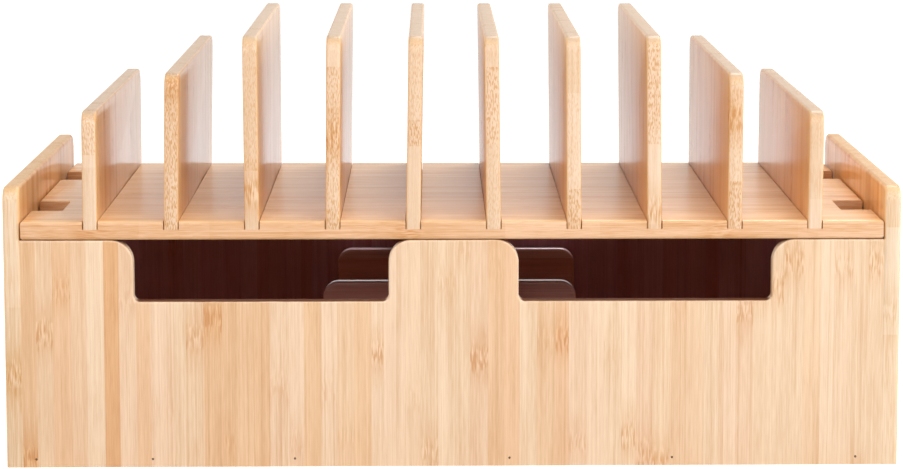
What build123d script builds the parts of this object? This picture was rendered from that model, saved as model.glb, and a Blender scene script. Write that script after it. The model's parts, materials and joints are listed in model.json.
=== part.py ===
from build123d import *
import os

# Bamboo charging station organizer: an open-topped box for power strips and chargers, covered by a
# lift-off shelf. Ten upright dividers stand in grooves across the shelf and part it into eleven
# device slots. Two wide notches in the front panel and two in the back panel let the cables and the
# mains lead out, and four small ones in the shelf's side edges let the cables down.
#
# Frame: millimetres, +Z up, +X to the right seen from the front, +Y to the back.
# The origin is on the surface that the box stands on, under the middle of its footprint.

# Box
outer_width = 430.0
outer_depth = 243.0
side_thickness = 8.0
panel_thickness = 8.0
base_thickness = 8.0
panel_height = 110.5
side_rise = 16.5
corner_radius = 8.0
side_arris = 1.8

# Cable notches in the front and back panels
centre_tongue_width = 62.3
outer_tongue_width = 53.9
notch_depth = 29.7
notch_shoulder_radius = 11.0
notch_root_radius = 3.0
notch_arris = 1.2

# Shelf
shelf_thickness = 9.0
shelf_side_gap = 0.5
shelf_arris = 1.5
shelf_notch_width = 15.5
shelf_notch_length = 37.0
shelf_notch_inset = 40.0
shelf_notch_radius = 1.0
shelf_notch_arris = 0.6
groove_depth = 4.0
groove_side_gap = 0.25

# Dividers
divider_count = 10
divider_thickness = 7.0
end_slot_width = 30.1
low_rise = 52.6
middle_rise = 70.8
tall_rise = 88.4
divider_arris = 1.2

# Charger cradle: two upright boards that stand in grooves in the base
cradle_thickness = 8.0
cradle_width = 130.0
cradle_rise = 65.6
cradle_gap = 110.3
cradle_front_offset = -1.3
cradle_rear_offset = 2.8
cradle_groove_depth = 3.0
cradle_arris = 1.5

# Locating pegs in the top edges of the front and back panels
peg_diameter = 4.0
peg_length = 12.0
peg_stand = 4.0
peg_chamfer = 0.6
peg_inset = 19.0
peg_glue_gap = 0.05
peg_running_gap = 0.3
peg_end_gap = 0.6

# Brads: headed steel pins, driven from outside and set just below the surface
brad_shank_diameter = 0.8
brad_head_diameter = 1.1
brad_head_height = 0.8
brad_length = 24.0
brad_set_depth = 0.5
brad_gap = 0.03
front_brad_shares = (-0.97, -0.70, -0.37, 0.13, 0.51, 0.94)
side_brad_height_shares = (0.2, 0.5, 0.8)
side_brad_depth_shares = (-0.5, 0.0, 0.5)

cut_overrun = 1.0

# Places that follow from the sizes
inner_width = outer_width - 2 * side_thickness
inner_depth = outer_depth - 2 * panel_thickness
shelf_top = panel_height + shelf_thickness
side_height = shelf_top + side_rise
panel_centre_y = (inner_depth + panel_thickness) / 2
notch_width = (inner_width - centre_tongue_width - 2 * outer_tongue_width) / 2
notch_centre_x = (centre_tongue_width + notch_width) / 2
divider_pitch = (inner_width - 2 * end_slot_width - divider_thickness) / (divider_count - 1)
first_divider_x = (divider_thickness - inner_width) / 2 + end_slot_width
cradle_rear_y = (inner_depth - cradle_thickness) / 2
cradle_front_y = cradle_rear_y - cradle_gap - cradle_thickness
cradle_foot = base_thickness - cradle_groove_depth
cradle_front_place = Pos(cradle_front_offset, cradle_front_y, cradle_foot)
cradle_rear_place = Pos(cradle_rear_offset, cradle_rear_y, cradle_foot)
base_brad_height = base_thickness / 2

# Alignments of a solid on its own origin
on_floor = (Align.CENTER, Align.CENTER, Align.MIN)
below = (Align.CENTER, Align.CENTER, Align.MAX)


def above_foot(edges):
    """The edges of a standing board without the lowest ones, which stay sharp."""
    foot, *higher = edges.group_by(Axis.Z)
    return ShapeList(edge for group in higher for edge in group)


def between_ends(shapes):
    """Those vertices or edges of a panel that don't lie along its two ends."""
    reach = (inner_width - panel_thickness) / 2
    return ShapeList(shape for shape in shapes if abs(shape.center().X) < reach)


def upright_board(thickness, length, height, radius, arris):
    """A board that stands on its long edge along Y, with its top corners and its arrises rounded."""
    board = Box(thickness, length, height, align=on_floor)
    board = fillet(board.edges().filter_by(Axis.X).group_by(Axis.Z)[-1], radius)
    return fillet(above_foot(board.faces().filter_by(Axis.X).edges()), arris)


def brad(gap=0.0):
    """One brad along +Z with its head's outer face at zero, or with a gap, the hole that it sits in."""
    shank = Cylinder(brad_shank_diameter / 2 + gap, brad_length + gap, align=below)
    head = Cylinder(brad_head_diameter / 2 + gap, brad_head_height + gap, align=below)
    if gap:
        head += Cylinder(brad_head_diameter / 2 + gap, brad_set_depth + cut_overrun, align=on_floor)
    return shank + head


def brad_places():
    """Where each group of brads goes in: its heads' centres and the turn that points them outwards."""
    head_x = outer_width / 2 - brad_set_depth
    head_y = outer_depth / 2 - brad_set_depth
    along_front = [share * inner_width / 2 for share in front_brad_shares]
    places = {
        "front_brads": [Pos(x, -head_y, base_brad_height) * Rot(X=90) for x in along_front],
        "rear_brads": [Pos(-x, head_y, base_brad_height) * Rot(X=-90) for x in along_front],
    }
    for name, hand in (("left_side_brads", -1), ("right_side_brads", 1)):
        spots = [(share * inner_depth / 2, base_brad_height) for share in side_brad_depth_shares]
        for y in (-panel_centre_y, panel_centre_y):
            spots += [(y, share * panel_height) for share in side_brad_height_shares]
        places[name] = [Pos(hand * head_x, y, z) * Rot(Y=hand * 90) for y, z in spots]
    return places


def brad_holes(*groups):
    """The holes of the named groups of brads, in the order that they are cut."""
    return [place * brad(brad_gap) for name in groups for place in brad_places()[name]]


def peg_places():
    """The foot of each locating peg: one in each outer tongue of the front and back panels."""
    x = inner_width / 2 - peg_inset
    z = panel_height + peg_stand - peg_length
    return [Pos(side * x, end * panel_centre_y, z) for side in (-1, 1) for end in (-1, 1)]


def peg_holes(gap, end_gap):
    """The pegs' own shape grown by a gap all round and by another at both ends."""
    hole = Cylinder(peg_diameter / 2 + gap, peg_length + 2 * end_gap, align=on_floor)
    return [place * Pos(0, 0, -end_gap) * hole for place in peg_places()]


def locating_pegs():
    """Four wooden pegs, with both ends chamfered."""
    peg = Cylinder(peg_diameter / 2, peg_length, align=on_floor)
    peg = chamfer(peg.edges().filter_by(GeomType.CIRCLE), peg_chamfer)
    return Compound([place * peg for place in peg_places()])


def notched_panel():
    """A panel between the sides, with two wide cable notches in its top edge."""
    face = Rectangle(inner_width, panel_height, align=(Align.CENTER, Align.MIN))
    cut = Rectangle(notch_width, notch_depth, align=(Align.CENTER, Align.MAX))
    for side in (-1, 1):
        face -= Pos(side * notch_centre_x, panel_height) * cut
    top_corners = face.vertices().group_by(Axis.Y)[-1]
    face = fillet(between_ends(top_corners), notch_shoulder_radius)
    notch_floor_corners = face.vertices().group_by(Axis.Y)[1]
    face = fillet(notch_floor_corners, notch_root_radius)
    panel = Pos(0, panel_thickness / 2, 0) * extrude(Plane.XZ * face, panel_thickness)
    rim = above_foot(between_ends(panel.faces().filter_by(Axis.Y).edges()))
    return fillet(rim, notch_arris)


def side_panel(hand):
    """The left side at hand -1, or the right side at hand 1.

    Its two inner arrises stay sharp up to the height of the panels that are glued flush against them.
    """
    panel = upright_board(side_thickness, outer_depth, side_height, corner_radius, side_arris)
    sharp_arris = Box(side_arris, side_arris, panel_height, align=on_floor)
    for end in (-1, 1):
        panel += Pos(hand * (side_arris - side_thickness) / 2, end * (outer_depth - side_arris) / 2, 0) * sharp_arris
    panel = Pos(hand * (inner_width + side_thickness) / 2, 0, 0) * panel
    return panel - brad_holes("left_side_brads" if hand < 0 else "right_side_brads")


def end_panel(end):
    """The front panel at end -1, or the back panel at end 1."""
    panel = Pos(0, end * panel_centre_y, 0) * notched_panel()
    panel -= brad_holes("front_brads" if end < 0 else "rear_brads", "left_side_brads", "right_side_brads")
    return panel - peg_holes(peg_glue_gap, peg_glue_gap)


def cradle_board(place):
    """One upright board of the charger cradle, which stands in its groove in the base."""
    height = cradle_rise + cradle_groove_depth
    board = upright_board(cradle_thickness, cradle_width, height, corner_radius, cradle_arris)
    return place * Rot(Z=90) * board


def base_board():
    """The floor of the box, between the four walls, with a groove for each cradle board."""
    base = Box(inner_width, inner_depth, base_thickness, align=on_floor)
    groove = Box(cradle_width, cradle_thickness, cradle_groove_depth + cut_overrun, align=on_floor)
    for place in (cradle_front_place, cradle_rear_place):
        base -= place * groove
    return base - brad_holes("front_brads", "rear_brads", "left_side_brads", "right_side_brads")


def divider_x(index):
    """The middle of a divider's thickness, counted from 0 at the left."""
    return first_divider_x + index * divider_pitch


def divider_rise(index):
    """How far a divider stands above the shelf: the two outer pairs step down to the sides."""
    from_end = min(index, divider_count - 1 - index)
    return {0: low_rise, 1: middle_rise}.get(from_end, tall_rise)


def divider(index):
    """One removable divider, with its foot in its groove."""
    height = divider_rise(index) + groove_depth
    board = upright_board(divider_thickness, outer_depth, height, corner_radius, divider_arris)
    return Pos(divider_x(index), 0, shelf_top - groove_depth) * board


def device_shelf():
    """The lift-off shelf: cable notches in its side edges, grooves on top and peg holes below."""
    half_width = inner_width / 2 - shelf_side_gap
    shelf = Box(2 * half_width, outer_depth, shelf_thickness, align=on_floor)
    shelf = fillet(shelf.faces().filter_by(Axis.Z).edges(), shelf_arris)
    notch = Rectangle(2 * shelf_notch_width, shelf_notch_length)
    notch = extrude(fillet(notch.vertices(), shelf_notch_radius), shelf_thickness)
    notch_y = (outer_depth - shelf_notch_length) / 2 - shelf_notch_inset
    for side in (-1, 1):
        for end in (-1, 1):
            shelf -= Pos(side * half_width, end * notch_y) * notch
    arris_start = shelf_arris + shelf_side_gap
    rims = [
        edge for edge in shelf.faces().filter_by(Axis.Z).edges()
        if abs(edge.center().X) < half_width - arris_start and abs(edge.center().Y) < outer_depth / 2 - arris_start
    ]
    shelf = Pos(0, 0, panel_height) * fillet(rims, shelf_notch_arris)
    groove_width = divider_thickness + 2 * groove_side_gap
    groove = Box(groove_width, outer_depth + 2 * cut_overrun, groove_depth + cut_overrun, align=on_floor)
    for index in range(divider_count):
        shelf -= Pos(divider_x(index), 0, shelf_top - groove_depth) * groove
    return shelf - peg_holes(peg_running_gap, peg_end_gap)


def pieces():
    """Every piece of the organizer by its name."""
    made = {
        "left_side_panel": side_panel(-1),
        "right_side_panel": side_panel(1),
        "front_panel": end_panel(-1),
        "back_panel": end_panel(1),
        "base_board": base_board(),
        "cradle_front_board": cradle_board(cradle_front_place),
        "cradle_rear_board": cradle_board(cradle_rear_place),
        "device_shelf": device_shelf(),
        "shelf_pegs": locating_pegs(),
    }
    for index in range(divider_count):
        made[f"divider_{index + 1:02d}"] = divider(index)
    for name, places in brad_places().items():
        made[name] = Compound([place * brad() for place in places])
    return made


os.makedirs("parts", exist_ok=True)
for name, shape in pieces().items():
    export_step(shape, f"parts/{name}.step")
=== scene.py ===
import json
import logging
import math
from contextlib import contextmanager
from dataclasses import dataclass, replace
from enum import Enum
from functools import partial, partialmethod
from typing import Callable, ClassVar, Iterator, Mapping, Optional, Sequence, Union

import bmesh
import bpy
from mathutils import Matrix, Vector

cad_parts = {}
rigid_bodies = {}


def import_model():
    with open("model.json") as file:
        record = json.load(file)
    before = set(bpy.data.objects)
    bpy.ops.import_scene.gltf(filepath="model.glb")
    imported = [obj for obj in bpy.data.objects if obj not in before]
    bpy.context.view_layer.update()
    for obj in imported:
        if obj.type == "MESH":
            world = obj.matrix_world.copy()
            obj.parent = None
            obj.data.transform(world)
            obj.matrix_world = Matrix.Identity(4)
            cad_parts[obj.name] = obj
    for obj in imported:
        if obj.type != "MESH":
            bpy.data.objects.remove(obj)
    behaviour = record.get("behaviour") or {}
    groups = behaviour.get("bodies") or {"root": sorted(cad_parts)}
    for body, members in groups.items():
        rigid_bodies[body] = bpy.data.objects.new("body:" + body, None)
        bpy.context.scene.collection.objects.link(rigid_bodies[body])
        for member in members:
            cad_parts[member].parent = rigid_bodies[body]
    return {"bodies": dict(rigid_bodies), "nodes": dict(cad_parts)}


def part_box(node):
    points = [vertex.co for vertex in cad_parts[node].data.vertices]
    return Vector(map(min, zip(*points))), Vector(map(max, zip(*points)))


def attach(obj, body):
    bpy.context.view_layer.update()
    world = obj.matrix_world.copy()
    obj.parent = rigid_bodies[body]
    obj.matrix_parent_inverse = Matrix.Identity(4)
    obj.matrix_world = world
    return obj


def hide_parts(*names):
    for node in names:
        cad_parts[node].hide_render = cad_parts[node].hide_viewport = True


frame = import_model()

# A bamboo charging station organizer, in metres: a box of boards, a lift-off shelf with ten upright
# dividers standing in its grooves, and a cradle of two boards inside the box.

log = logging.getLogger("organizer")

MM = 0.001
HALF = 0.5
OPAQUE = 1.0
UNIT = (0.0, 1.0)
WHITE = (1.0, 1.0, 1.0)
TOUCH = 0.01 * MM
WELD = 0.001 * MM
STRAIGHT = 0.999
CORNER_ANGLE = math.radians(80)
SMOOTH_ANGLE = math.radians(40)

Band = tuple[float, float]
Triple = tuple[float, float, float]
Colour = Triple
Value = Union["Term", float, Sequence[float]]
Feeds = Mapping[Union[str, int], Value]
Labels = Sequence[str]
Sockets = Mapping[str, Labels]
Piece = bpy.types.Object
Edge = bmesh.types.BMEdge
EdgeTest = Callable[[Edge], bool]


class Axis(Enum):
    """The three directions of the frame."""

    WIDTH = 0
    DEPTH = 1
    HEIGHT = 2


class Grain(Enum):
    """How the strips of a board run: across the strips, through the board, along the grain."""

    FACING_FRONT = (Axis.WIDTH, Axis.DEPTH, Axis.HEIGHT)
    FACING_SIDE = (Axis.DEPTH, Axis.WIDTH, Axis.HEIGHT)
    ACROSS_LYING = (Axis.DEPTH, Axis.HEIGHT, Axis.WIDTH)
    ACROSS_STANDING = (Axis.HEIGHT, Axis.DEPTH, Axis.WIDTH)


# Node trees


@dataclass(frozen=True)
class Term:
    """A node's output, which sums and products can be written with."""

    graph: "Graph"
    socket: bpy.types.NodeSocket

    def _join(self, operation: str, *others: Value) -> "Term":
        """The number joined with others by an operation of the math node."""
        return self.graph.math(operation, self, *others)

    def __rsub__(self, other: Value) -> "Term":
        """The difference between a plain number and this one."""
        return self.graph.math("SUBTRACT", other, self)

    __add__ = partialmethod(_join, "ADD")
    __sub__ = partialmethod(_join, "SUBTRACT")
    __mul__ = partialmethod(_join, "MULTIPLY")
    __truediv__ = partialmethod(_join, "DIVIDE")
    __abs__ = partialmethod(_join, "ABSOLUTE")


@dataclass(frozen=True)
class Placed:
    """A node in a graph."""

    graph: "Graph"
    node: bpy.types.Node

    def __getitem__(self, output: Union[str, int]) -> Term:
        """One of its outputs, by name or number."""
        return Term(self.graph, self.node.outputs[output])


class Graph:
    """A node tree that is being drawn, with one short method for each kind of node it uses."""

    def __init__(self, tree: bpy.types.NodeTree) -> None:
        """Empties the tree that the nodes go into."""
        self.tree = tree
        tree.nodes.clear()

    def add(self, kind: str, feeds: Optional[Feeds] = None, **settings: object) -> Placed:
        """Adds one node.

        Args:
            kind: The node's type name, without the word that shader nodes' names begin with.
            feeds: Plain values of its inputs, or terms to link to them.
            **settings: Properties to set on it.

        Returns:
            The new node.
        """
        node = self.tree.nodes.new(kind if kind.startswith("NodeGroup") else f"ShaderNode{kind}")
        for name, value in settings.items():
            setattr(node, name, value)
        for key, value in (feeds or {}).items():
            socket = node.inputs[key]
            if isinstance(value, Term):
                self.tree.links.new(value.socket, socket)
            else:
                socket.default_value = (*value, OPAQUE) if socket.type == "RGBA" else value
        return Placed(self, node)

    def math(self, operation: str, *numbers: Value) -> Term:
        """Joins up to three numbers by the operation that Blender has under that name."""
        return self.add("Math", dict(enumerate(numbers)), operation=operation)[0]

    def ease(self, value: Value, band: Band, start: Value = 0.0, end: Value = 1.0) -> Term:
        """Eases a number from one value at the start of a band to another at its end."""
        feeds = {"Value": value, "From Min": band[0], "From Max": band[1], "To Min": start, "To Max": end}
        return self.add("MapRange", feeds, interpolation_type="SMOOTHSTEP")[0]

    def fall(self, value: Value, band: Band) -> Term:
        """Eases a number from 1 below a band to 0 above it."""
        return self.ease(value, band, 1.0, 0.0)

    def vector(self, *numbers: Value) -> Term:
        """Makes a vector of three numbers."""
        return self.add("CombineXYZ", dict(enumerate(numbers)))[0]

    def split(self, vector: Term) -> list[Term]:
        """Takes a vector apart into its three numbers."""
        node = self.add("SeparateXYZ", {0: vector})
        return [node[axis.value] for axis in Axis]

    def scaled(self, vector: Term, size: float) -> Term:
        """A place in units of a size."""
        return self.add("VectorMath", {0: vector, "Scale": 1.0 / size}, operation="SCALE")[0]

    def noise(self, vector: Term, detail: float = 0.0, roughness: float = 0.5) -> Term:
        """Smooth noise about 0.5 with cells of about one unit, and with finer layers for its detail."""
        feeds = {"Vector": vector, "Scale": 1.0, "Detail": detail, "Roughness": roughness}
        return self.add("TexNoise", feeds)["Fac"]

    def chance(self, *draw: Value) -> list[Term]:
        """Three even random numbers from 0 to 1 for every three numbers."""
        feeds = {"Vector": self.vector(*draw)}
        return self.split(self.add("TexWhiteNoise", feeds, noise_dimensions="3D")["Color"])

    def blend(self, factor: Term, first: Value, second: Value, mode: str = "MIX") -> Term:
        """Mixes two colours in the way that Blender has under the mode's name."""
        feeds = {"Factor": factor, 6: first, 7: second}
        return self.add("Mix", feeds, data_type="RGBA", blend_type=mode)[2]

    def seen(self) -> Term:
        """Whether a ray comes from the camera, a reflection or a clear surface.

        Returns:
            1 for such a ray, and 0 for one that only carries light.
        """
        paths = self.add("LightPath")
        seen = self.math("MAXIMUM", paths["Is Camera Ray"], paths["Is Glossy Ray"])
        return self.math("MAXIMUM", seen, paths["Is Transmission Ray"])


class NodeGroup:
    """A shader node group, whose name, sockets and nodes each kind of group gives."""

    name: str
    inputs: ClassVar[Sockets]
    outputs: ClassVar[Sockets]

    def group(self) -> bpy.types.NodeTree:
        """The group, made when it is first asked for."""
        return bpy.data.node_groups.get(self.name) or self._make()

    def _make(self) -> bpy.types.NodeTree:
        """Makes the group's sockets, and draws its nodes.

        Returns:
            The node group.
        """
        tree = bpy.data.node_groups.new(self.name, "ShaderNodeTree")
        for way, sockets in (("INPUT", self.inputs), ("OUTPUT", self.outputs)):
            for kind, labels in sockets.items():
                for label in labels:
                    tree.interface.new_socket(name=label, in_out=way, socket_type=f"NodeSocket{kind}")
        g = Graph(tree)
        g.add("NodeGroupOutput", self._draw(g, g.add("NodeGroupInput")))
        return tree

    def _draw(self, g: Graph, given: Placed) -> Feeds:
        """Draws the nodes between the given inputs and the outputs, whose feeds it returns."""
        raise NotImplementedError


@dataclass(frozen=True)
class Mark:
    """One kind of mark in the wood: its size, and how much it darkens, warms, raises and dulls the wood."""

    width: float = MM
    length: float = MM
    detail: float = 1.0
    dark: float = 0.0
    warm: float = 0.0
    high: float = 0.0
    film: float = 0.0


@dataclass(frozen=True)
class StripPattern(NodeGroup):
    """The pressed strips that every bamboo board is glued up from, as one node group."""

    numbers: ClassVar[Labels] = (
        "Seed", "Strip Width", "Board Spacing", "Dark Strip", "Warm Place", "Strip Contrast",
        "Fibre Contrast", "Joint Contrast", "Fleck Contrast", "Fleck Length", "Fleck Warmth",
        "Plain Below", "Edge Gloss")
    colours: ClassVar[Labels] = ("Pale", "Tan", "Honey", "Rose", "Edge Tint", "End Tint")
    places: ClassVar[Labels] = ("Across", "Through", "Along", "Across Normal", "Along Normal")
    inputs: ClassVar[Sockets] = {"Float": (*places, *numbers), "Color": colours}
    outputs: ClassVar[Sockets] = {"Color": ("Colour",), "Float": ("Height", "Film", "Gloss")}

    name: str = "bamboo_strips"
    middle_tone: float = 0.36
    tone_band: Band = (-0.15, 1.15)
    width_pace: float = 0.7
    width_sway: float = 0.9
    seam_share: float = 0.04
    seam: Mark = Mark(dark=0.4, high=-0.4)
    strip_shift: float = 37.0
    rose_band: Band = (0.4, 1.0)
    dark_strip_warmth: float = 0.85
    warm_reach: float = 260 * MM
    warm_pull: float = 0.35
    warm_band: Band = (0.55, 1.1)
    most_warm: float = 0.5
    joint_spacing: float = 150 * MM
    joint_band: Band = (2.25 * MM, 9 * MM)
    least_joint: float = 0.1
    joint_edge: Mark = Mark(0.6 * MM, 5 * MM)
    joint_edge_reach: float = 12 * MM
    joint_step: float = 0.5
    halo_reach: float = 22 * MM
    halo: Mark = Mark(dark=0.2, warm=0.45)
    sway: Mark = Mark(2.6 * MM, 9 * MM)
    sway_reach: float = 1.0 * MM
    drift: Mark = Mark(4.5 * MM, 55 * MM, dark=0.75, film=0.6)
    lines: Mark = Mark(1.5 * MM, 230 * MM, detail=0.0, dark=0.3)
    line_band: Band = (0.54, 0.70)
    least_line: float = 0.15
    fibres: Mark = Mark(0.8 * MM, 120 * MM, dark=0.6, high=0.5)
    pale_lines: Mark = Mark(dark=-0.12)
    pale_line_band: Band = (0.30, 0.44)
    hairs: Mark = Mark(0.45 * MM, 11 * MM, dark=0.8, high=0.4, film=0.4)
    grain_roughness: float = 0.55
    dark_dashes: Mark = Mark(0.6 * MM, 5 * MM, detail=0.0, dark=0.4, warm=0.5, high=-0.5)
    dark_dash_band: Band = (0.50, 0.68)
    pale_dashes: Mark = Mark(dark=-0.7)
    pale_dash_band: Band = (0.33, 0.47)
    turn_band: Band = (0.55, 0.9)
    edge_step: float = 0.3
    stretch_length: float = 46 * MM
    stretch_shift: float = 0.37
    stretch_pace: float = 0.6
    stretch_sway: float = 1.4
    force_band: Band = (0.1, 0.7)
    least_force: float = 0.15
    plain_share: float = 0.4
    plain_spread: float = 16 * MM
    plain_fade: float = 0.9
    flecks: Mark = Mark(0.46 * MM, dark=0.42, warm=0.5, high=-0.4)
    fleck_band: Band = (0.50, 0.60)
    dots: Mark = Mark(0.75 * MM, dark=0.3, high=-0.6)
    dot_band: Band = (0.15, 0.45)
    cool_ends: float = 0.6
    joint_draw: float = 0.5
    fleck_draw: float = 5.0
    plain_draw: float = 9.0

    def _draw(self, g: Graph, given: Placed) -> Feeds:
        """Draws strips, fibres, joints of the cane, flecked edges and dotted ends.

        Args:
            g: The group's graph.
            given: Its inputs.

        Returns:
            What its outputs get.
        """
        across, through, along, seed = (given[label] for label in ("Across", "Through", "Along", "Seed"))

        # Strips of uneven width, each with its own tone, hue and place for the cane's joint
        index, inside = self._strip(g, given, across)
        dark_index, _ = self._strip(g, given, given["Dark Strip"])
        dark = g.math("COMPARE", index, dark_index, HALF)
        board = g.math("FLOOR", through / given["Board Spacing"])
        tone, offset, hue = g.chance(index, board, seed)
        joint_force, line_force, warm = g.chance(index, board, seed + self.joint_draw)
        near_warm = g.fall(abs(across - given["Warm Place"]), (0.0, self.warm_reach))
        warm = g.ease(near_warm * self.warm_pull + warm, self.warm_band, 0.0, self.most_warm)
        seam = g.ease(abs(inside - HALF), (HALF - self.seam_share, HALF))
        drawn_out = partial(self._drawn_out, g, through, along, offset * self.strip_shift)

        # The cane's joint in each strip, round which the fibres sway and past which the tone changes a little
        ragged = (drawn_out(across, self.joint_edge) - HALF) * self.joint_edge_reach
        steps = (along + ragged) / self.joint_spacing + offset
        from_joint = abs(g.math("FRACT", steps) - HALF) * self.joint_spacing
        joint = g.fall(from_joint, self.joint_band)
        halo = g.fall(from_joint, (0.0, self.halo_reach))
        length_tone, _, _ = g.chance(index, g.math("FLOOR", steps + HALF), seed)
        bent = across + (drawn_out(across, self.sway) - HALF) * halo * self.sway_reach
        joint_force = g.ease(joint_force, UNIT, self.least_joint) * given["Joint Contrast"]

        # Fibres, with drifts of tone, long lines and hairs, and the dashes that the joint breaks them into
        kinds = (self.drift, self.lines, self.fibres, self.hairs, self.dark_dashes)
        drift, lines, fibres, hairs, dashes = (drawn_out(bent, kind) for kind in kinds)
        lines = g.ease(lines, self.line_band) * g.ease(line_force, UNIT, self.least_line)
        pale_lines = g.fall(fibres, self.pale_line_band)
        dark_dashes = g.ease(dashes, self.dark_dash_band) * joint
        pale_dashes = g.fall(dashes, self.pale_dash_band) * joint

        # Masks of the narrow edges and of the cut ends
        edge, end = (g.ease(abs(given[label]), self.turn_band) for label in ("Across Normal", "Along Normal"))
        face = 1.0 - g.math("MAXIMUM", edge, end)

        # Flecks on the narrow edges, in stretches that stop at a straight line
        stretch = along / self.stretch_length + board * self.stretch_shift + seed
        uneven = g.noise(g.vector(stretch * self.stretch_pace, board, seed))
        stretch = g.math("FLOOR", uneven * self.stretch_sway + stretch)
        force, stretch_tone, _ = g.chance(stretch, board, seed + self.fleck_draw)
        force = g.ease(force, self.force_band, self.least_force) * edge * given["Fleck Contrast"]
        level, plain, _ = g.chance(board, seed, self.plain_draw)
        level = (level - HALF) * self.plain_spread + given["Plain Below"]
        plain = g.math("GREATER_THAN", plain, self.plain_share) * g.math("LESS_THAN", along, level)
        force = force * (1.0 - plain * self.plain_fade)
        width = self.flecks.width
        flecks = g.noise(g.vector(bent / width, through / width, along / given["Fleck Length"]))
        flecks = g.ease(flecks, self.fleck_band) * force

        # Dots of the cut fibre bundles on the ends
        feeds = {"Scale": 1.0 / self.dots.width, "Vector": g.vector(across, through, 0.0)}
        dots = g.fall(g.add("TexVoronoi", feeds)["Distance"], self.dot_band) * end

        # What makes the wood darker or brighter adds up to one tone
        grain = (
            (drift - HALF) * self.drift.dark
            + lines * self.lines.dark
            + (fibres - HALF) * self.fibres.dark
            + (hairs - HALF) * self.hairs.dark
            + pale_lines * self.pale_lines.dark
        )
        marks = (
            dark_dashes * self.dark_dashes.dark
            + pale_dashes * self.pale_dashes.dark
            + halo * self.halo.dark
        )
        tone = tone + (length_tone - HALF) * self.joint_step
        darker = (
            (tone - HALF + seam * self.seam.dark) * given["Strip Contrast"] * face
            + (stretch_tone - HALF) * self.edge_step * edge
            + grain * given["Fibre Contrast"]
            + marks * joint_force
            + flecks * self.flecks.dark
            + dots * self.dots.dark
            + self.middle_tone
        )
        warmth = (
            (halo * self.halo.warm + dark_dashes * self.dark_dashes.warm) * joint_force
            + (dark * self.dark_strip_warmth + warm) * face
            + force * given["Fleck Warmth"]
            + flecks * self.flecks.warm
        )
        warmth = warmth * (1.0 - end * self.cool_ends)
        rosy = g.ease(hue, self.rose_band) * face
        colour = g.blend(g.ease(darker, self.tone_band), given["Pale"], given["Tan"])
        # Edge and end tints multiply the colour on narrow edges and cut ends; some finishes set them as
        # painted shade and painted highlight.
        for amount, label in ((warmth, "Honey"), (rosy, "Rose"), (edge, "Edge Tint"), (end, "End Tint")):
            colour = g.blend(amount, colour, given[label], "MULTIPLY")
        height = (
            fibres * self.fibres.high
            + hairs * self.hairs.high
            + dark_dashes * self.dark_dashes.high
            + flecks * self.flecks.high
            + dots * self.dots.high
            + seam * self.seam.high
        )
        film = hairs * self.hairs.film + drift * self.drift.film
        gloss = g.ease(face, UNIT, given["Edge Gloss"])
        return {"Colour": colour, "Height": height, "Film": film, "Gloss": gloss}

    def _strip(self, g: Graph, given: Placed, across: Term) -> tuple[Term, Term]:
        """Finds the strip at a place across the board.

        Args:
            g: The graph to draw in.
            given: The group's inputs.
            across: The place across the strips.

        Returns:
            The strip's index, and the place inside it from 0 to 1.
        """
        place = across / given["Strip Width"]
        wander = g.noise(g.vector(place * self.width_pace, given["Seed"], 0.0))
        place = place + wander * self.width_sway
        return g.math("FLOOR", place), g.math("FRACT", place)

    def _drawn_out(self, g: Graph, through: Term, along: Term, shift: Term, across: Term, mark: Mark) -> Term:
        """Noise with cells of a mark's size, shifted along the grain from strip to strip."""
        spot = g.vector(across / mark.width, through / mark.width, along / mark.length + shift)
        return g.noise(spot, mark.detail, self.grain_roughness)


@dataclass(frozen=True)
class HandledEdges(NodeGroup):
    """Softly worn arrises and the fine unevenness of a sprayed lacquer, as one node group."""

    inputs: ClassVar[Sockets] = {"Vector": ("Position", "Normal"), "Float": ("Amount",)}
    outputs: ClassVar[Sockets] = {"Float": ("Wear", "Ripple", "Dust")}

    name: str = "handled_edges"
    turn_band: Band = (0.75, 0.985)
    patch_size: float = 11 * MM
    patch_detail: float = 3.0
    patch_roughness: float = 0.6
    patch_band: Band = (0.3, 0.7)
    ripple_size: float = 1.6 * MM
    ripple_detail: float = 1.0
    dust_size: float = 0.5 * MM
    dust_band: Band = (0.74, 0.8)

    def _draw(self, g: Graph, given: Placed) -> Feeds:
        """Draws wear where the surface turns, and a ripple and specks of dust in the lacquer.

        Args:
            g: The group's graph.
            given: Its inputs.

        Returns:
            What its outputs get.
        """
        place = given["Position"]
        x, y, z = (abs(part) for part in g.split(given["Normal"]))
        turning = g.fall(g.math("MAXIMUM", g.math("MAXIMUM", x, y), z), self.turn_band)
        patches = g.noise(g.scaled(place, self.patch_size), self.patch_detail, self.patch_roughness)
        wear = turning * g.ease(patches, self.patch_band) * given["Amount"]
        ripple = g.noise(g.scaled(place, self.ripple_size), self.ripple_detail)
        dust = g.ease(g.noise(g.scaled(place, self.dust_size)), self.dust_band)
        return {"Wear": wear, "Ripple": ripple, "Dust": dust}


# Finishes


@dataclass(frozen=True)
class Finish:
    """A material, whose shader each kind of finish draws."""

    name: str

    def material(self) -> bpy.types.Material:
        """The finish as a material, made when it is first asked for."""
        return bpy.data.materials.get(self.name) or self._mix()

    def _mix(self) -> bpy.types.Material:
        """Makes the material.

        Returns:
            The material.
        """
        material = bpy.data.materials.new(self.name)
        material.use_nodes = True
        g = Graph(material.node_tree)
        g.add("OutputMaterial", {"Surface": self._shader(g)})
        return material

    def _shader(self, g: Graph) -> Term:
        """Draws the shader in the material's graph, and returns it."""
        raise NotImplementedError


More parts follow.
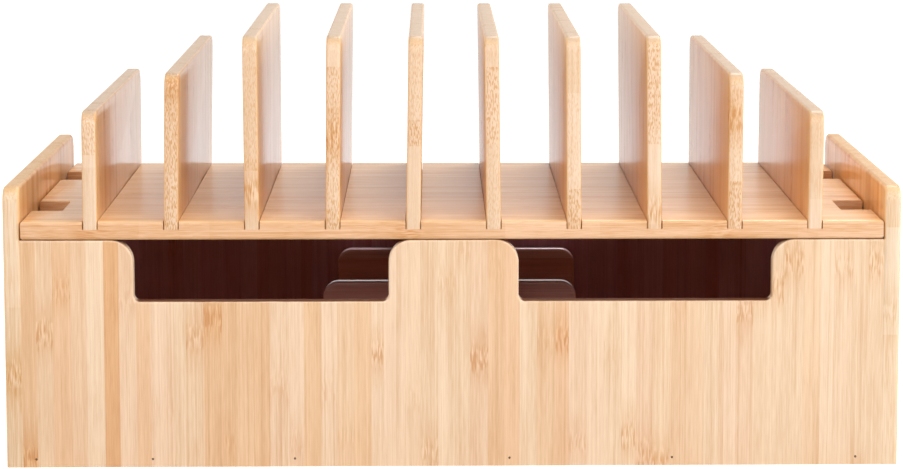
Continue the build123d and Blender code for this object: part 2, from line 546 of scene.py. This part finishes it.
@dataclass(frozen=True)
class BambooFinish(Finish):
    """Pressed bamboo under a clear satin lacquer."""

    grain: Grain
    seed: float
    strip_width: float = 8 * MM
    grain_shift: float = 0.0
    board_spacing: float = 50 * MM
    dark_strip: float = 10.0
    warm_place: float = 10.0
    strip_contrast: float = 0.4
    fibre_contrast: float = 0.8
    joint_contrast: float = 1.0
    fleck_contrast: float = 0.8
    fleck_length: float = 2.2 * MM
    fleck_warmth: float = 0.15
    plain_below: float = -1.0
    pale: Colour = (0.88, 0.645, 0.43)
    tan: Colour = (0.66, 0.38, 0.185)
    honey: Colour = (0.88, 0.66, 0.42)
    rose: Colour = (0.99, 0.95, 0.95)
    edge_tint: Colour = WHITE
    end_tint: Colour = (0.80, 0.82, 0.86)
    wear: float = 0.5
    worn_roughness: float = 0.1
    roughness: float = 0.5
    film_roughness: float = 0.16
    wood_gloss: float = 0.2
    lacquer_weight: float = 0.65
    lacquer_roughness: float = 0.13
    edge_gloss: float = 0.3
    relief: float = 0.03 * MM
    ripple: float = 0.5
    dust: float = 0.2

    def _shader(self, g: Graph) -> Term:
        """Draws the wood and its lacquer.

        Args:
            g: The material's graph.

        Returns:
            The shader.
        """
        spot = g.add("TexCoord")
        place = g.split(spot["Object"])
        normal = g.split(spot["Normal"])
        across, through, along = (axis.value for axis in self.grain.value)
        feeds = dict(zip(StripPattern.places, (
            place[across] + self.grain_shift, place[through], place[along], normal[across], normal[along])))
        for label in (*StripPattern.numbers, *StripPattern.colours):
            feeds[label] = getattr(self, label.lower().replace(" ", "_"))
        strips = g.add("Group", feeds, node_tree=StripPattern().group())
        feeds = {"Position": spot["Object"], "Normal": spot["Normal"], "Amount": self.wear}
        edges = g.add("Group", feeds, node_tree=HandledEdges().group())
        roughness = (strips["Film"] - HALF) * self.film_roughness + edges["Wear"] * self.worn_roughness
        height = strips["Height"] + edges["Ripple"] * self.ripple + edges["Dust"] * self.dust
        bump = g.add("Bump", {"Strength": 1.0, "Distance": self.relief, "Height": height})
        return g.add("BsdfPrincipled", {
            "Base Color": g.blend(edges["Wear"], strips["Colour"], self.pale),
            "Roughness": roughness + self.roughness,
            "Normal": bump["Normal"],
            "Specular IOR Level": self.wood_gloss,
            "Coat Weight": strips["Gloss"] * self.lacquer_weight,
            "Coat Roughness": self.lacquer_roughness,
        })["BSDF"]


@dataclass(frozen=True)
class PinFinish(Finish):
    """The dull wire of the brads."""

    name: str = "brad_wire"
    colour: Colour = (0.26, 0.17, 0.11)
    stain: Colour = (0.12, 0.07, 0.04)
    stain_size: float = 0.4 * MM
    stain_detail: float = 3.0
    stain_band: Band = (0.4, 0.65)
    dull_band: Band = (0.3, 0.7)
    roughness: Band = (0.75, 0.95)
    gloss: float = 0.1

    def _shader(self, g: Graph) -> Term:
        """Draws the stained wire, and returns the shader."""
        stains = g.noise(g.scaled(g.add("TexCoord")["Object"], self.stain_size), self.stain_detail)
        return g.add("BsdfPrincipled", {
            "Base Color": g.blend(g.ease(stains, self.stain_band), self.colour, self.stain),
            "Roughness": g.ease(stains, self.dull_band, *self.roughness),
            "Specular IOR Level": self.gloss,
        })["BSDF"]


@dataclass(frozen=True)
class FloorFinish(Finish):
    """A dull pale floor that stays white to the camera and in reflections."""

    name: str = "studio_floor"
    colour: Colour = (0.6, 0.6, 0.6)
    roughness: float = 0.9
    glow: float = 0.95

    def _shader(self, g: Graph) -> Term:
        """Draws the floor, and returns the shader."""
        return g.add("BsdfPrincipled", {
            "Base Color": self.colour,
            "Roughness": self.roughness,
            "Specular IOR Level": 0.0,
            "Emission Color": WHITE,
            "Emission Strength": g.seen() * self.glow,
        })["BSDF"]


# The dark end tint of the front panel is painted shade on its notch floors and other level ends.
WALL_FRONT = BambooFinish(
    "bamboo_wall_front", Grain.FACING_FRONT, seed=2.0, dark_strip=-158 * MM, warm_place=-200 * MM,
    grain_shift=4.3 * MM, strip_contrast=0.22, fibre_contrast=0.9, joint_contrast=0.72,
    pale=(0.87, 0.66, 0.465), tan=(0.65, 0.385, 0.20),
    end_tint=(0.24, 0.13, 0.09), edge_gloss=0.0,
)
# Its dark end tint is painted shade on the rear notch floors and other level ends.
WALL_BACK = BambooFinish(
    "bamboo_wall_back", Grain.FACING_FRONT, seed=5.0, strip_contrast=0.32,
    pale=(0.84, 0.60, 0.41), tan=(0.62, 0.35, 0.18), end_tint=(0.24, 0.13, 0.09), edge_gloss=0.0,
)
# Darker, redder bamboo for the back panel's inner face: painted shade inside the closed box.
WALL_INSIDE_PAINTED_SHADE = BambooFinish(
    "bamboo_wall_inside_painted_shade", Grain.FACING_FRONT, seed=5.0, strip_contrast=0.2, joint_contrast=0.5,
    pale=(0.66, 0.33, 0.42), tan=(0.46, 0.175, 0.235), rose=(1.0, 0.95, 1.0),
)
# The paler, cooler edge tint on the side walls' front and back edges is partly the wood's edge tone and
# partly a painted highlight.
WALL_SIDE = BambooFinish(
    "bamboo_wall_side", Grain.FACING_SIDE, seed=9.5, fleck_contrast=0.3, fleck_length=12 * MM,
    fleck_warmth=0.8, pale=(0.90, 0.60, 0.32), tan=(0.69, 0.36, 0.13),
    rose=(1.0, 0.98, 0.95), edge_tint=(0.98, 1.2, 1.74), lacquer_weight=0.35,
)
SHELF = BambooFinish(
    "bamboo_shelf", Grain.ACROSS_LYING, seed=12.0, joint_contrast=0.5, fibre_contrast=1.1, fleck_contrast=0.3,
    strip_contrast=0.2, fleck_length=7 * MM, pale=(0.88, 0.585, 0.30), tan=(0.67, 0.345, 0.11),
    rose=(0.98, 0.96, 0.97), edge_tint=(0.97, 0.95, 1.2),
    lacquer_weight=0.55, lacquer_roughness=0.24,
)
# Darker bamboo for the base board: painted shade inside the box.
BASE_PAINTED_SHADE = BambooFinish(
    "bamboo_base_painted_shade", Grain.ACROSS_LYING, seed=21.0, pale=(0.62, 0.37, 0.26), tan=(0.44, 0.22, 0.14),
)
# Darker, redder bamboo on the cradle boards is painted shade inside the box; the pale, cool edge tint on
# their top edges is a painted highlight.
CRADLE_PAINTED_LIGHT = BambooFinish(
    "bamboo_cradle_painted_light", Grain.ACROSS_STANDING, seed=34.0, board_spacing=38.53 * MM,
    pale=(0.84, 0.42, 0.38), tan=(0.60, 0.235, 0.19), edge_tint=(1.1, 1.65, 2.25), wood_gloss=0.45,
    lacquer_weight=1.0, lacquer_roughness=0.08, edge_gloss=1.0,
)
# The cool, grey end tint on the divider tops is darker end grain together with a painted reflection of the
# bright surroundings.
DIVIDER = BambooFinish(
    "bamboo_divider", Grain.FACING_SIDE, seed=47.0, fleck_contrast=1.0, board_spacing=38.53 * MM,
    plain_below=149 * MM, strip_contrast=0.12, fibre_contrast=0.55, rose=(1.0, 0.985, 0.96),
    pale=(0.85, 0.55, 0.28), tan=(0.63, 0.32, 0.11), edge_tint=(1.04, 1.24, 1.85),
    end_tint=(0.73, 0.85, 1.22), lacquer_weight=0.57, lacquer_roughness=0.13,
)
DIVIDER_SATIN = replace(DIVIDER, name="bamboo_divider_satin", lacquer_weight=0.6, lacquer_roughness=0.23)
PEG = BambooFinish("bamboo_peg", Grain.FACING_SIDE, seed=55.0, strip_width=6 * MM)


# Modelling by hand


def deselect_all() -> None:
    """Leaves edit mode and selects nothing."""
    if bpy.context.mode != "OBJECT":
        bpy.ops.object.mode_set(mode="OBJECT")
    bpy.ops.object.select_all(action="DESELECT")


def pick(piece: Piece) -> None:
    """Makes a piece the only one selected.

    Args:
        piece: The piece.
    """
    deselect_all()
    piece.select_set(True)
    bpy.context.view_layer.objects.active = piece


def settle(piece: Piece) -> None:
    """Puts a piece's place into its mesh."""
    pick(piece)
    bpy.ops.object.transform_apply(location=True, rotation=True, scale=True)


@contextmanager
def editing(piece: Piece, selection: str = "SELECT") -> Iterator[None]:
    """Opens a piece in edit mode for as long as the block of a with statement lasts.

    Args:
        piece: The piece.
        selection: What is done to its selection first.
    """
    pick(piece)
    bpy.ops.object.mode_set(mode="EDIT")
    bpy.ops.mesh.select_all(action=selection)
    yield
    bpy.ops.object.mode_set(mode="OBJECT")


def add_block(name: str, low: Vector, high: Vector) -> Piece:
    """Adds a cube primitive that fills a box.

    Args:
        name: The piece's name.
        low: The box's lowest corner.
        high: The box's highest corner.

    Returns:
        The block.
    """
    deselect_all()
    bpy.ops.mesh.primitive_cube_add(size=1.0, location=(low + high) / 2, scale=high - low)
    block = bpy.context.object
    block.name = name
    block.data.name = name
    settle(block)
    return block


def select_edges(piece: Piece, wanted: EdgeTest) -> None:
    """Selects some of the edges of a piece that is being edited.

    Args:
        piece: The piece, with nothing selected.
        wanted: Says whether an edge is selected.
    """
    bpy.ops.mesh.select_mode(type="EDGE")
    for edge in [edge for edge in bmesh.from_edit_mesh(piece.data).edges if wanted(edge)]:
        edge.select_set(True)
    bmesh.update_edit_mesh(piece.data)


def round_edges(piece: Piece, wanted: EdgeTest, radius: float, segments: int) -> None:
    """Rounds some of a piece's edges.

    Args:
        piece: The piece.
        wanted: Says whether an edge is rounded.
        radius: The rounding's radius.
        segments: How many steps it has.
    """
    with editing(piece, "DESELECT"):
        select_edges(piece, wanted)
        bpy.ops.mesh.bevel(offset=radius, segments=segments, profile=HALF, affect="EDGES")


def runs_along(edge: Edge, axis: Axis) -> bool:
    """Whether an edge lies along an axis."""
    run = edge.verts[1].co - edge.verts[0].co
    return abs(run[axis.value]) > STRAIGHT * run.length


def is_corner(edge: Edge) -> bool:
    """Whether the two faces at an edge meet at about a right angle."""
    return len(edge.link_faces) == 2 and edge.calc_face_angle() > CORNER_ANGLE


def at_level(edge: Edge, axis: Axis, *levels: float) -> bool:
    """Whether both ends of an edge are at one of some levels of an axis."""
    return any(all(abs(vert.co[axis.value] - level) < TOUCH for vert in edge.verts) for level in levels)


def middle(edge: Edge) -> Vector:
    """The middle of an edge."""
    return (edge.verts[0].co + edge.verts[1].co) / 2


def split_at(piece: Piece, axis: Axis, level: float) -> None:
    """Draws a line round a piece where a plane cuts it.

    Args:
        piece: The piece.
        axis: The plane's normal.
        level: The plane's place on that axis.
    """
    normal = Vector([float(other is axis) for other in Axis])
    with editing(piece):
        bpy.ops.mesh.bisect(plane_co=normal * level, plane_no=normal, clear_inner=False, clear_outer=False)


def carve_through(piece: Piece, low: Vector, high: Vector, thin: Axis) -> None:
    """Takes a box out of a board's edge, and closes the cut between the outlines on its two faces.

    Args:
        piece: The board.
        low: The box's lowest corner.
        high: The box's highest corner; where the cut is open, the box reaches past the board.
        thin: The axis that the cut goes through the board along.
    """
    bottom, top = bounds_of(piece)
    for axis in Axis:
        for level in (low[axis.value], high[axis.value]):
            if bottom[axis.value] < level < top[axis.value]:
                split_at(piece, axis, level)
    with editing(piece, "DESELECT"):
        bpy.ops.mesh.select_mode(type="FACE")
        for face in bmesh.from_edit_mesh(piece.data).faces:
            centre = face.calc_center_median()
            face.select_set(all(start < place < end for start, place, end in zip(low, centre, high)))
        bmesh.update_edit_mesh(piece.data)
        bpy.ops.mesh.delete(type="FACE")
    with editing(piece, "DESELECT"):
        select_edges(piece, lambda edge: len(edge.link_faces) == 1 and not runs_along(edge, thin))
        bpy.ops.mesh.bridge_edge_loops()
        bpy.ops.mesh.select_all(action="SELECT")
        bpy.ops.mesh.normals_make_consistent(inside=False)


def bounds_of(piece: Piece) -> tuple[Vector, Vector]:
    """The lowest and highest corners of a mesh."""
    columns = list(zip(*(vert.co for vert in piece.data.vertices)))
    return Vector([min(column) for column in columns]), Vector([max(column) for column in columns])


def cut_with(piece: Piece, cutters: Sequence[Piece]) -> None:
    """Takes cutters out of a piece, and removes them.

    Args:
        piece: The piece.
        cutters: Closed solids that reach past its surface.
    """
    pick(cutters[0])
    for cutter in cutters[1:]:
        cutter.select_set(True)
    if len(cutters) > 1:
        bpy.ops.object.join()
    tool = bpy.context.object
    cut = piece.modifiers.new("cut", "BOOLEAN")
    cut.operation = "DIFFERENCE"
    cut.solver = "EXACT"
    cut.object = tool
    pick(piece)
    bpy.ops.object.modifier_apply(modifier=cut.name)
    bpy.data.objects.remove(tool)


def loose_boxes(node: str) -> list[tuple[Vector, Vector]]:
    """The boxes of a node's separate solids.

    Args:
        node: The node's name.

    Returns:
        The lowest and highest corner of each solid.
    """
    deselect_all()
    copy = frame["nodes"][node].copy()
    copy.data = copy.data.copy()
    copy.parent = None
    bpy.context.scene.collection.objects.link(copy)
    with editing(copy):
        bpy.ops.mesh.remove_doubles(threshold=WELD)
        bpy.ops.mesh.separate(type="LOOSE")
    solids = list(bpy.context.selected_objects)
    boxes = [bounds_of(solid) for solid in solids]
    for solid in solids:
        bpy.data.objects.remove(solid)
    return boxes


def finish_piece(piece: Piece, node: str, body: str, finish: Finish) -> None:
    """Shades and dresses a new piece, and lets it stand for its node.

    Args:
        piece: The piece.
        node: The node that it stands for.
        body: The body that it moves with.
        finish: Its finish.
    """
    pick(piece)
    bpy.ops.object.shade_smooth_by_angle(angle=SMOOTH_ANGLE)
    piece.data.materials.clear()
    piece.data.materials.append(finish.material())
    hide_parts(node)
    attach(piece, body)
    log.info("%s: %d faces, rides on %s", piece.name, len(piece.data.polygons), body)


def dress_node(node: str, finish: Finish) -> None:
    """Gives a node that stays its finish.

    Args:
        node: The node's name.
        finish: Its finish.
    """
    shown = frame["nodes"][node]
    shown.data.materials.clear()
    shown.data.materials.append(finish.material())
    log.info("%s: kept with finish %s", node, finish.name)


PIN_AXES = {
    "front_brads": Axis.DEPTH, "rear_brads": Axis.DEPTH, "left_side_brads": Axis.WIDTH,
    "right_side_brads": Axis.WIDTH, "shelf_pegs": Axis.HEIGHT,
}


@dataclass
class PinHoles:
    """The holes of a node's round pins, cut into the boards that they hold."""

    clearance: float = 0.03 * MM
    overrun: float = 0.5 * MM
    sides: int = 20

    def cut(self, piece: Piece, *nodes: str, set_depth: float = 0.0) -> None:
        """Cuts the pins that reach into a piece.

        Args:
            piece: The piece.
            *nodes: The nodes that hold the pins.
            set_depth: How far below the surface the pins' heads are set.
        """
        cutters = []
        low, high = bounds_of(piece)
        for node in nodes:
            for pin_low, pin_high in loose_boxes(node):
                if all(pin_low[i] < high[i] and pin_high[i] > low[i] for i in range(3)):
                    cutters.append(self._cutter(pin_low, pin_high, PIN_AXES[node], set_depth))
        if cutters:
            cut_with(piece, cutters)

    def _cutter(self, low: Vector, high: Vector, axis: Axis, set_depth: float) -> Piece:
        """A cylinder round one pin.

        Args:
            low: The pin's lowest corner.
            high: The pin's highest corner.
            axis: The axis that it lies along.
            set_depth: How far below the surface its head is set.

        Returns:
            The cylinder.
        """
        size = high - low
        width = max(size[other.value] for other in Axis if other is not axis)
        quarter = math.pi / 2
        turn = (quarter * (axis is Axis.DEPTH), quarter * (axis is Axis.WIDTH), 0.0)
        deselect_all()
        bpy.ops.mesh.primitive_cylinder_add(
            vertices=self.sides, radius=width / 2 + self.clearance, location=(low + high) / 2, rotation=turn,
            depth=size[axis.value] + 2 * (set_depth + self.overrun if set_depth else self.clearance),
        )
        cutter = bpy.context.object
        settle(cutter)
        return cutter


# Sub-assemblies


@dataclass(frozen=True)
class UprightBoard:
    """A board that stands on its long edge, with rounded top corners and eased arrises."""

    corner_radius: float = 8 * MM
    arris: float = 1.2 * MM
    corner_steps: int = 12
    arris_steps: int = 5

    def build(self, node: str, sharp_to: float = 0.0) -> Piece:
        """Models the board in its node's place.

        Args:
            node: The node's name.
            sharp_to: The height up to which its inner upright arrises stay sharp.

        Returns:
            The board.
        """
        low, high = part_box(node)
        size = high - low
        thin = Axis.WIDTH if size.x < size.y else Axis.DEPTH
        board = add_block(f"{node}_board", low, high)
        faces = (low[thin.value], high[thin.value])
        inner = min(faces, key=abs)

        def is_arris(edge: Edge) -> bool:
            """Whether an edge is on the outline of a broad face, above the foot, and is eased."""
            on_face = at_level(edge, thin, *faces) and not at_level(edge, Axis.HEIGHT, low.z)
            sharp = at_level(edge, thin, inner) and middle(edge).z < sharp_to
            return on_face and is_corner(edge) and not sharp

        round_edges(
            board, lambda edge: runs_along(edge, thin) and at_level(edge, Axis.HEIGHT, high.z),
            self.corner_radius, self.corner_steps)
        if sharp_to:
            split_at(board, Axis.HEIGHT, sharp_to)
        round_edges(board, is_arris, self.arris, self.arris_steps)
        return board


@dataclass
class Carcase:
    """The open box: four walls, the base, and the brads and pegs in them."""

    side: UprightBoard = UprightBoard(arris=1.8 * MM)
    rim_arris: float = 1.2 * MM
    rim_steps: int = 5
    shoulder_radius: float = 11 * MM
    shoulder_steps: int = 14
    root_radius: float = 3 * MM
    root_steps: int = 8
    centre_tongue: float = 62.3 * MM
    outer_tongue: float = 53.9 * MM
    notch_depth: float = 29.7 * MM
    set_depth: float = 0.5 * MM
    facing: float = 0.9
    body: str = "box"
    slot: str = "wall_bamboo"

    def build(self) -> None:
        """Models and dresses the whole box."""
        glued_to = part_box("front_panel")[1].z
        for hand in ("left", "right"):
            node = f"{hand}_side_panel"
            panel = self.side.build(node, glued_to)
            PinHoles().cut(panel, f"{hand}_side_brads", set_depth=self.set_depth)
            finish_piece(panel, node, self.body, WALL_SIDE)
        self._notched("front_panel", "front_brads", WALL_FRONT)
        back = self._notched("back_panel", "rear_brads", WALL_BACK)
        # The back panel's inner face takes the darker finish of painted shade.
        back.data.materials.append(WALL_INSIDE_PAINTED_SHADE.material())
        for face in back.data.polygons:
            face.material_index = int(face.normal.y < -self.facing)
        self._base()
        for node in ("front_brads", "rear_brads", "left_side_brads", "right_side_brads"):
            dress_node(node, PinFinish())
        dress_node("shelf_pegs", PEG)

    def _notched(self, node: str, brads: str, finish: BambooFinish) -> Piece:
        """A panel between the sides, with two wide cable notches in its top edge.

        Args:
            node: The node's name.
            brads: The node of the brads along its foot.
            finish: The panel's finish.

        Returns:
            The panel.
        """
        low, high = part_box(node)
        panel = add_block(f"{node}_board", low, high)
        floor = high.z - self.notch_depth
        near, far = self.centre_tongue / 2, high.x - self.outer_tongue
        for start, end in ((-far, -near), (near, far)):
            corners = Vector((start, low.y - MM, floor)), Vector((end, high.y + MM, high.z + MM))
            carve_through(panel, *corners, Axis.DEPTH)

        def is_bend(edge: Edge, level: float) -> bool:
            """Whether an edge runs through the panel at a notch's wall and at a height."""
            at_wall = at_level(edge, Axis.WIDTH, -far, -near, near, far)
            return at_wall and runs_along(edge, Axis.DEPTH) and at_level(edge, Axis.HEIGHT, level)

        def is_rim(edge: Edge) -> bool:
            """Whether an edge is on the outline of a broad face, between the ends and above the foot."""
            on_face = at_level(edge, Axis.DEPTH, low.y, high.y) and not at_level(edge, Axis.HEIGHT, low.z)
            return on_face and is_corner(edge) and not at_level(edge, Axis.WIDTH, low.x, high.x)

        round_edges(panel, lambda edge: is_bend(edge, high.z), self.shoulder_radius, self.shoulder_steps)
        round_edges(panel, lambda edge: is_bend(edge, floor), self.root_radius, self.root_steps)
        round_edges(panel, is_rim, self.rim_arris, self.rim_steps)
        PinHoles().cut(panel, brads, set_depth=self.set_depth)
        PinHoles().cut(panel, "left_side_brads", "right_side_brads", "shelf_pegs")
        finish_piece(panel, node, self.body, finish)
        return panel

    def _base(self) -> None:
        """The base board, with a groove for each cradle board."""
        low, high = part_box("base_board")
        base = add_block("base_board_board", low, high)
        for node in Cradle.nodes:
            foot_low, foot_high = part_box(node)
            groove = add_block("groove", foot_low, Vector((foot_high.x, foot_high.y, high.z + MM)))
            cut_with(base, [groove])
        finish_piece(base, "base_board", self.body, BASE_PAINTED_SHADE)


@dataclass
class Cradle:
    """The two upright boards inside the box that hold the charger between them."""

    nodes: ClassVar[Labels] = ("cradle_front_board", "cradle_rear_board")
    board: UprightBoard = UprightBoard(arris=1.5 * MM)

    def build(self) -> None:
        """Models and dresses both boards."""
        for node in self.nodes:
            finish_piece(self.board.build(node), node, "box", CRADLE_PAINTED_LIGHT)


@dataclass
class Shelf:
    """The lift-off shelf, with cable notches in its side edges and a groove for each divider."""

    arris: float = 1.5 * MM
    arris_steps: int = 5
    notch_width: float = 15.5 * MM
    notch_length: float = 37 * MM
    notch_inset: float = 40 * MM
    notch_radius: float = 1 * MM
    notch_arris: float = 0.6 * MM
    notch_steps: int = 3
    groove_gap: float = 0.25 * MM
    peg_gap: float = 0.3 * MM
    node: str = "device_shelf"

    def build(self) -> None:
        """Models and dresses the shelf."""
        low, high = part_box(self.node)
        shelf = add_block(f"{self.node}_board", low, high)
        inner = high.x - self.notch_width
        near = high.y - self.notch_inset
        far = near - self.notch_length
        for start, end in ((-near, -far), (far, near)):
            for left, right in ((low.x - MM, -inner), (inner, high.x + MM)):
                corners = Vector((left, start, low.z - MM)), Vector((right, end, high.z + MM))
                carve_through(shelf, *corners, Axis.HEIGHT)

        def in_notch(edge: Edge) -> bool:
            """Whether an edge is a corner of a notch."""
            x, y, _ = middle(edge)
            return is_corner(edge) and far - MM < abs(y) < near + MM and abs(x) > inner - MM

        def is_outline(edge: Edge) -> bool:
            """Whether an edge is on the outline of a broad face, outside the notches."""
            return is_corner(edge) and at_level(edge, Axis.HEIGHT, low.z, high.z) and not in_notch(edge)

        round_edges(shelf, is_outline, self.arris, self.arris_steps)
        round_edges(
            shelf, lambda edge: runs_along(edge, Axis.HEIGHT) and at_level(edge, Axis.WIDTH, -inner, inner),
            self.notch_radius, self.arris_steps)
        round_edges(shelf, in_notch, self.notch_arris, self.notch_steps)
        margin = Vector((self.groove_gap, MM, 0.0))
        feet = [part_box(body) for body in frame["bodies"] if body.startswith("divider")]
        cut_with(shelf, [
            add_block("groove", foot_low - margin, Vector((foot_high.x, foot_high.y, high.z + MM)) + margin)
            for foot_low, foot_high in feet])
        PinHoles(clearance=self.peg_gap).cut(shelf, "shelf_pegs")
        finish_piece(shelf, self.node, "shelf", SHELF)


@dataclass
class Dividers:
    """The removable dividers, each on a body of its own, which lean a little in the play of their grooves.

    The lacquer of those on the right is a little duller.
    """

    board: UprightBoard = UprightBoard()
    lean_degrees: tuple[float, ...] = (0.0, 0.9, -0.25, 0.6, 0.9, -0.7, -0.55, -0.6, 0.1, 0.5)

    def build(self) -> None:
        """Models and dresses every divider."""
        nodes = sorted(body for body in frame["bodies"] if body.startswith("divider"))
        for node, degrees in zip(nodes, self.lean_degrees):
            board = self.board.build(node)
            self._lean(board, math.radians(degrees))
            finish = DIVIDER if bounds_of(board)[1].x < 0 else DIVIDER_SATIN
            finish_piece(board, node, node, finish)

    def _lean(self, board: Piece, angle: float) -> None:
        """Turns a board about the middle of its foot, and keeps its top at the same height.

        Args:
            board: The board.
            angle: How far its top leans to the right.
        """
        low, high = bounds_of(board)
        foot = Vector(((low.x + high.x) / 2, 0.0, low.z))
        with editing(board):
            bpy.ops.transform.rotate(value=-angle, orient_axis="Y", center_override=foot)
            board.update_from_editmode()
            sink = high.z - bounds_of(board)[1].z
            bpy.ops.transform.translate(value=(0.0, 0.0, sink))


# The studio


@dataclass(frozen=True)
class SoftBox:
    """A square lamp that points at the middle of the object."""

    name: str
    place: Triple
    size: float
    power: float
    colour: Colour = WHITE

    def light(self) -> None:
        """Places the lamp."""
        lamp = bpy.data.lights.new(self.name, "AREA")
        lamp.shape = "SQUARE"
        lamp.size = self.size
        lamp.energy = self.power
        lamp.color = self.colour
        holder = bpy.data.objects.new(self.name, lamp)
        bpy.context.scene.collection.objects.link(holder)
        holder.location = self.place
        holder.rotation_mode = "QUATERNION"
        holder.rotation_quaternion = (-Vector(self.place)).to_track_quat("-Z", "Y")


SOFT_BOXES = (
    SoftBox("front_right", (1.1, -1.8, 1.3), 1.4, 22.0, (0.94, 0.98, 1.0)),
    SoftBox("front_left", (-0.55, -1.9, 1.25), 1.2, 22.5, (1.0, 0.96, 0.93)),
    SoftBox("right", (1.6, -0.5, 0.7), 1.0, 19.0, (0.93, 0.97, 1.0)),
    SoftBox("left", (-1.6, -0.5, 0.7), 1.0, 9.0),
    SoftBox("back", (0.4, 1.0, 1.8), 0.8, 25.0),
)


@dataclass
class Studio:
    """A plain pale floor, soft light and the camera."""

    image_width: int = 903
    sensor: float = 36.0
    focal_pixels: float = 3248.9
    centre_pixel_x: float = 529.3
    eye: Triple = (-0.0101, -1.6616, 0.3264)
    pitch_down: float = 7.89
    turn_right: float = 1.723
    roll: float = 0.132
    floor_size: float = 30.0
    sky_fill: float = 0.05

    def build(self) -> None:
        """Sets up the floor, the world, the lamps and the camera."""
        bpy.context.scene.view_settings.view_transform = "Standard"
        deselect_all()
        bpy.ops.mesh.primitive_plane_add(size=self.floor_size)
        floor = bpy.context.object
        floor.name = "floor"
        floor.data.materials.append(FloorFinish().material())
        self._world()
        for box in SOFT_BOXES:
            box.light()
        self._camera()

    def _world(self) -> None:
        """White where it is seen or reflected, and a soft fill elsewhere."""
        world = bpy.data.worlds.new("studio")
        bpy.context.scene.world = world
        world.use_nodes = True
        g = Graph(world.node_tree)
        feeds = {"Color": WHITE, "Strength": g.ease(g.seen(), UNIT, self.sky_fill)}
        light = g.add("Background", feeds)
        g.add("OutputWorld", {"Surface": light["Background"]})

    def _camera(self) -> None:
        """A long lens in front, a little above and left of the middle."""
        data = bpy.data.cameras.new("camera")
        data.sensor_width = self.sensor
        data.lens = self.focal_pixels / self.image_width * self.sensor
        data.shift_x = HALF - self.centre_pixel_x / self.image_width
        camera = bpy.data.objects.new("camera", data)
        bpy.context.scene.collection.objects.link(camera)
        camera.location = self.eye
        angles = ((-self.turn_right, "Z"), (90 - self.pitch_down, "X"), (self.roll, "Z"))
        turn, tilt, roll = (Matrix.Rotation(math.radians(angle), 3, axis) for angle, axis in angles)
        camera.rotation_euler = (turn @ tilt @ roll).to_euler()
        bpy.context.scene.camera = camera


def main() -> None:
    """Builds the organizer and the studio round it."""
    logging.basicConfig(level=logging.INFO, format="%(name)s: %(message)s")
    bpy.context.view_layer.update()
    for part in (Carcase(), Cradle(), Shelf(), Dividers(), Studio()):
        part.build()
        log.info("%s is built", type(part).__name__)
    deselect_all()


if __name__ == "__main__":
    main()
